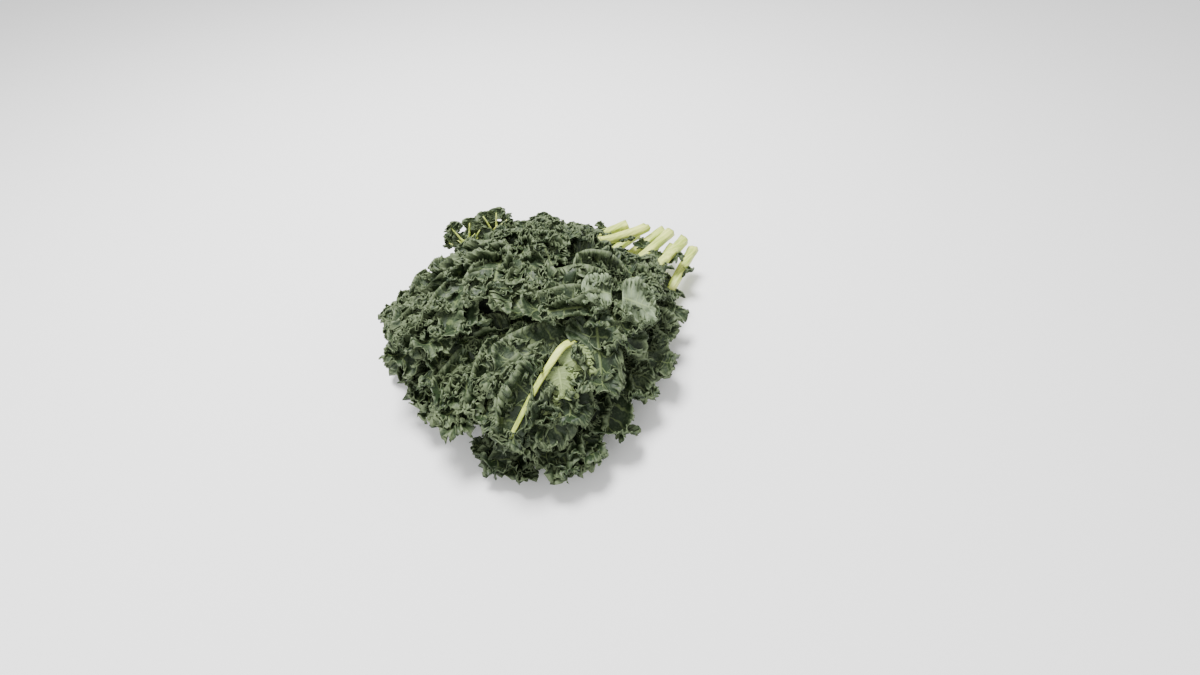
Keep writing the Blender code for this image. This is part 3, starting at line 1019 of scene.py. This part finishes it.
def leaf_skin():
    """The group that every leaf material uses: dark green deep in a lobe, which also paints the shade in its
    cup, lighter at its margin as a painted highlight, and paler at its veins.
    """
    group = bpy.data.node_groups.new("leaf_skin", "ShaderNodeTree")
    for name in ("Deep_Shaded", "Edge_Lit", "Vein", "Pale"):
        group.interface.new_socket(name, in_out="INPUT", socket_type="NodeSocketColor")
    for name in ("Color", "Roughness", "Height"):
        kind = "NodeSocketColor" if name == "Color" else "NodeSocketFloat"
        group.interface.new_socket(name, in_out="OUTPUT", socket_type=kind)
    made = Shading(group)
    given = group.nodes.new("NodeGroupInput")
    result = group.nodes.new("NodeGroupOutput")
    place = made.place()
    along, across = made.on_lobe()
    shade, crest = made.attribute("shade"), made.attribute("crest")
    mottle = made.noise(place, MOTTLE_SCALE, detail=4.0)
    crinkle = made.noise(place, CRINKLE_SCALE, detail=2.0)
    shown = made.ramp(shade, 1.8, 2.4)
    vein = vein_mask(made, place, along, across, shown)

    # Painted highlight on the lobes' margins, where they catch the light; the middles keep the dark green,
    # which is partly painted shade in the cups
    edge = made.times(made.ramp(across, 0.62, 1.0), made.ramp(mottle, 0.30, 0.62, 0.35, 1.0))
    bloom = made.ramp(mottle, 0.42, 0.72, 0.0, 0.30)
    share = made.add(edge, made.add(bloom, made.times(shade, 0.11)))
    # Painted highlight on the frills' crests and painted shade in their troughs
    share = made.add(share, made.times(crest, 0.32))
    # Painted light and shade at a fine scale: lighter where the fine relief of the bump stands up and darker
    # where it sinks
    share = made.add(share, made.ramp(crinkle, 0.38, 0.62, -0.16, 0.16))
    share.node.use_clamp = True
    colour = made.mix(share, given.outputs["Deep_Shaded"], given.outputs["Edge_Lit"])

    turned = made.maths("SUBTRACT", made.ramp(shade, 1.4, 1.7), made.ramp(shade, 1.9, 2.2))
    turned = made.times(turned, made.ramp(mottle, 0.38, 0.60, 0.15, 0.85))
    colour = made.mix(turned, colour, given.outputs["Pale"])
    veined = made.times(vein, made.add(made.times(shown, 0.45), 0.30))
    veined = made.maths("MAXIMUM", veined, made.ramp(shade, 3.1, 3.9, 0.0, 0.45))
    colour = made.mix(veined, colour, given.outputs["Vein"])
    group.links.new(colour, result.inputs["Color"])
    group.links.new(made.ramp(mottle, 0.3, 0.7, 0.50, 0.68), result.inputs["Roughness"])
    group.links.new(made.add(crinkle, vein), result.inputs["Height"])
    return group


def leaf_material(skin, name, deep, edge):
    """The skin of the leaves of one layer."""
    made, shader, shading = new_material(name, {"Specular IOR Level": 0.35})
    used = shading.nodes.new("ShaderNodeGroup")
    used.node_tree = skin
    for socket, colour in (("Deep_Shaded", deep), ("Edge_Lit", edge), ("Vein", VEIN_GREEN), ("Pale", TURNED_PALE)):
        used.inputs[socket].default_value = colour
    shading.links.new(used.outputs["Color"], shader.inputs["Base Color"])
    shading.links.new(used.outputs["Roughness"], shader.inputs["Roughness"])
    shading.bump(used.outputs["Height"], strength=0.45, distance=0.0008, shader=shader)
    return made


def stalk_material():
    """Pale yellow-green with long streaks and soft patches."""
    made, shader, shading = new_material("stalk_pale_green", {})
    place = shading.place()
    stretched = shading.nodes.new("ShaderNodeMapping")
    stretched.inputs["Scale"].default_value = (STREAK_STRETCH, 1.0, 1.0)
    shading.links.new(place, stretched.inputs["Vector"])
    streak = shading.noise(stretched.outputs["Vector"], STREAK_SCALE, detail=3.0)
    patch = shading.noise(place, PATCH_SCALE, detail=3.0)
    pale_streak = shading.ramp(streak, 0.36, 0.64, 0.0, 0.55)
    pale_patch = shading.ramp(patch, 0.35, 0.65, 0.0, 0.45)
    colour = shading.mix(shading.add(pale_streak, pale_patch), STALK_GREEN, STALK_PALE)
    shading.links.new(colour, shader.inputs["Base Color"])
    shading.links.new(shading.ramp(patch, 0.3, 0.7, 0.36, 0.52), shader.inputs["Roughness"])
    shading.bump(streak, strength=0.3, distance=0.0004, shader=shader)
    return made


def cut_material():
    """The moist cut face: pale pith with darker specks."""
    made, shader, shading = new_material("cut_face", {"Roughness": 0.4})
    specks = shading.noise(shading.place(), SPECK_SCALE, detail=2.0)
    colour = shading.mix(shading.ramp(specks, 0.35, 0.6), PITH_DARK, PITH_PALE)
    shading.links.new(colour, shader.inputs["Base Color"])
    return made


def set_floor():
    """A plain pale floor."""
    sheet = bmesh.new()
    bmesh.ops.create_grid(sheet, x_segments=1, y_segments=1, size=FLOOR_SIZE)
    finish, _, _ = new_material("floor_white", {"Base Color": FLOOR_WHITE, "Roughness": 0.8})
    floor = finished(sheet, "floor", finish)


def set_lights():
    """Even white light from all round, a key light from behind and a weak fill."""
    world = bpy.data.worlds.new("studio")
    world.use_nodes = True
    world.node_tree.nodes["Background"].inputs["Color"].default_value = (1.0, 1.0, 1.0, 1.0)
    world.node_tree.nodes["Background"].inputs["Strength"].default_value = 1.0
    bpy.context.scene.world = world
    for name, place, size, power in LIGHTS:
        lamp = bpy.data.lights.new(name, "AREA")
        lamp.shape = "DISK"
        lamp.size = size
        lamp.energy = power
        light = bpy.data.objects.new(name, lamp)
        light.location = place
        light.rotation_euler = (Vector(LIT_PLACE) - Vector(place)).to_track_quat("-Z", "Y").to_euler()
        bpy.context.scene.collection.objects.link(light)


def set_camera():
    """The camera, which looks down on the bunch from the side of its leaves."""
    data = bpy.data.cameras.new("camera")
    data.sensor_width = CAMERA_SENSOR
    data.lens = CAMERA_LENS
    camera = bpy.data.objects.new("camera", data)
    forward = Vector(CAMERA_FORWARD).normalized()
    right = Vector(CAMERA_RIGHT)
    right = (right - forward * right.dot(forward)).normalized()
    turn = Matrix((right, right.cross(forward), -forward)).transposed()
    camera.matrix_world = Matrix.Translation(CAMERA_PLACE) @ turn.to_4x4()
    bpy.context.scene.collection.objects.link(camera)
    bpy.context.scene.camera = camera


def make_leaves():
    """Every leaf: its blade and its stalk."""
    skin = leaf_skin()
    greens = [leaf_material(skin, *green) for green in LEAF_GREENS]
    stalk_finish, cut_finish = stalk_material(), cut_material()
    grid = lobe_grid("lobe_grid", LOBE_COLUMNS, LOBE_ROWS)
    small_grid = lobe_grid("small_lobe_grid", SMALL_LOBE_COLUMNS, SMALL_LOBE_ROWS)
    for leaf in LEAVES:
        make_blade(leaf, grid, small_grid, greens[leaf.layer])
        make_stalk(leaf, stalk_finish, cut_finish)
    for mesh, _ in (grid, small_grid):
        bpy.data.meshes.remove(mesh)


set_floor()
set_lights()
set_camera()
make_leaves()
